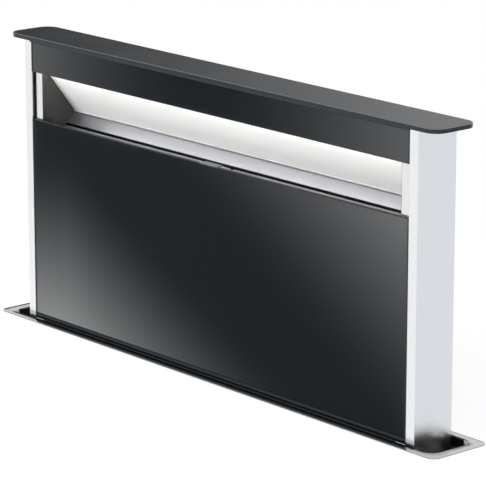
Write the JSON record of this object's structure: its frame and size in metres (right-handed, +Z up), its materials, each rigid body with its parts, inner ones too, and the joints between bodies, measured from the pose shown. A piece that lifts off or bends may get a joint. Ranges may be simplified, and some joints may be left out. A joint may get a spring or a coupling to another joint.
{
  "type": "downdraft vent",
  "caption": "Pop-up downdraft vent: a black glass tower with an intake slot rises from a steel worktop frame on belts, above a housing with a centrifugal fan.",
  "frame": {"origin": "centre of the worktop opening, on the underside of the worktop flange, where it rests on the worktop", "axes": "+Z up, +X to the right of someone at the glass side, -Y towards that person; modelled with the tower raised"},
  "size_m": [0.9578, 0.2627, 1.0915],
  "materials": {
    "brushed_flange": "brushed and polished stainless steel",
    "cap_charcoal": "satin charcoal anodised aluminium",
    "black_glass": "back-painted black glass, polished, opaque",
    "pale_aluminium": "fine brushed natural anodised aluminium",
    "strip_aluminium": "satin natural anodised aluminium",
    "lining_grey": "matt dark grey paint",
    "reflector_white": "gloss white paint",
    "deflector_brushed": "lightly brushed stainless steel",
    "sheet_zinc": "bright zinc-coated sheet",
    "panel_black": "satin black paint",
    "diffuser_opal": "opal acrylic",
    "tab_steel": "satin stainless steel",
    "filter_aluminium": "raw aluminium",
    "shoe_white": "white acetal",
    "rail_black": "black anodised aluminium",
    "belt_rubber": "black rubber belt",
    "wheel_metal": "machined aluminium",
    "shaft_steel": "ground steel",
    "gearcase_grey": "die-cast grey",
    "motor_black": "black powder coat",
    "screw_zinc": "zinc plated",
    "fan_black": "moulded black polypropylene",
    "wheel_grey": "moulded grey polypropylene",
    "duct_black": "moulded black ABS",
    "flap_grey": "grey polypropylene sheet",
    "control_grey": "moulded dark grey ABS",
    "foot_black": "hard black rubber and steel",
    "bracket_zinc": "zinc-plated bracket steel"
  },
  "bodies": {
    "housing": {"worktop_flange": "brushed_flange", "housing_front_panel": "sheet_zinc", "housing_back_panel": "sheet_zinc", "housing_end_left": "sheet_zinc", "housing_end_right": "sheet_zinc", "housing_floor": "sheet_zinc", "housing_screws": "screw_zinc", "guide_rail_left": "rail_black", "guide_rail_right": "rail_black", "clamp_brackets": "bracket_zinc", "leg_brackets": "bracket_zinc", "fan_scroll": "fan_black", "fan_cover": "fan_black", "inlet_ring": "fan_black", "fan_motor": "motor_black", "duct_adapter": "duct_black", "duct_collar": "duct_black", "control_box": "control_grey", "control_box_lid": "control_grey", "mains_inlet": "control_grey", "lift_gearbox": "gearcase_grey", "lift_motor": "motor_black", "belt_bearings": "gearcase_grey", "lift_belt_left": "belt_rubber", "lift_belt_right": "belt_rubber"},
    "tower": {"column_left": "pale_aluminium", "column_right": "pale_aluminium", "slot_profile_left": "strip_aluminium", "slot_profile_right": "strip_aluminium", "side_linings": "lining_grey", "top_cap": "cap_charcoal", "cap_tray": "panel_black", "header_glass": "black_glass", "light_housing": "panel_black", "light_diffuser": "diffuser_opal", "upper_reflector": "reflector_white", "lower_deflector": "deflector_brushed", "tower_back_panel": "panel_black", "front_skirt": "panel_black", "grease_trough": "deflector_brushed", "tower_foot_frame": "panel_black", "guide_shoes": "shoe_white", "belt_clamps": "wheel_metal"},
    "glass_panel": {"front_glass": "black_glass", "glass_frame": "panel_black", "finger_tab": "tab_steel"},
    "filter_left": {"grease_filter_left": "filter_aluminium"},
    "filter_right": {"grease_filter_right": "filter_aluminium"},
    "drive": {"drive_shaft": "shaft_steel", "drive_pulleys": "wheel_metal"},
    "idler_left": {"idler_pulley_left": "wheel_metal"},
    "idler_right": {"idler_pulley_right": "wheel_metal"},
    "fan_wheel": {"impeller": "wheel_grey", "fan_shaft": "shaft_steel"},
    "flap_front": {"duct_flap_front": "flap_grey"},
    "flap_back": {"duct_flap_back": "flap_grey"},
    "clamp_left": {"clamp_bolt_left": "screw_zinc"},
    "clamp_right": {"clamp_bolt_right": "screw_zinc"},
    "foot_left": {"levelling_foot_left": "foot_black"},
    "foot_right": {"levelling_foot_right": "foot_black"}
  },
  "joints": [
    {"name": "tower_lift", "type": "slide", "parent": "housing", "child": "tower", "axis": [0, 0, 1], "range_m": [-0.418, 0]},
    {"name": "glass_tilt", "type": "hinge", "parent": "tower", "child": "glass_panel", "pos_m": [0, -0.0237, -0.0045], "axis": [1, 0, 0], "range_deg": [0, 25]},
    {"name": "filter_left_lift", "type": "slide", "parent": "tower", "child": "filter_left", "axis": [0, 0, 1], "range_m": [0, 0.012]},
    {"name": "filter_right_lift", "type": "slide", "parent": "tower", "child": "filter_right", "axis": [0, 0, 1], "range_m": [0, 0.012]},
    {"name": "drive_turn", "type": "hinge", "parent": "housing", "child": "drive", "pos_m": [0, 0.0205, -0.56], "axis": [1, 0, 0], "range_deg": [-2100, 2100]},
    {"name": "idler_left_turn", "type": "hinge", "parent": "housing", "child": "idler_left", "pos_m": [-0.428, 0.0205, -0.07], "axis": [1, 0, 0], "range_deg": [-2100, 2100]},
    {"name": "idler_right_turn", "type": "hinge", "parent": "housing", "child": "idler_right", "pos_m": [0.428, 0.0205, -0.07], "axis": [1, 0, 0], "range_deg": [-2100, 2100]},
    {"name": "fan_turn", "type": "hinge", "parent": "housing", "child": "fan_wheel", "pos_m": [0.13, -0.095, -0.33], "axis": [0, 1, 0], "continuous": true},
    {"name": "flap_front_swing", "type": "hinge", "parent": "housing", "child": "flap_front", "pos_m": [0.2345, -0.1247, -0.5759], "axis": [1, 0, 0], "range_deg": [0, 75], "stiffness_Nm_per_rad": 0.01, "springref_deg": -40.11},
    {"name": "flap_back_swing", "type": "hinge", "parent": "housing", "child": "flap_back", "pos_m": [0.2345, -0.1177, -0.5759], "axis": [-1, 0, 0], "range_deg": [0, 75], "stiffness_Nm_per_rad": 0.01, "springref_deg": -40.11},
    {"name": "clamp_left_screw", "type": "slide", "parent": "housing", "child": "clamp_left", "axis": [0, 0, 1], "range_m": [-0.01, 0.015]},
    {"name": "clamp_right_screw", "type": "slide", "parent": "housing", "child": "clamp_right", "axis": [0, 0, 1], "range_m": [-0.01, 0.015]},
    {"name": "foot_left_screw", "type": "slide", "parent": "housing", "child": "foot_left", "axis": [0, 0, 1], "range_m": [-0.01, 0.004]},
    {"name": "foot_right_screw", "type": "slide", "parent": "housing", "child": "foot_right", "axis": [0, 0, 1], "range_m": [-0.01, 0.004]}
  ],
  "couplings": [
    {"joint": "drive_turn", "follows": "tower_lift", "rad_per_m": -85.47},
    {"joint": "idler_left_turn", "follows": "tower_lift", "rad_per_m": -85.47},
    {"joint": "idler_right_turn", "follows": "tower_lift", "rad_per_m": -85.47}
  ]
}
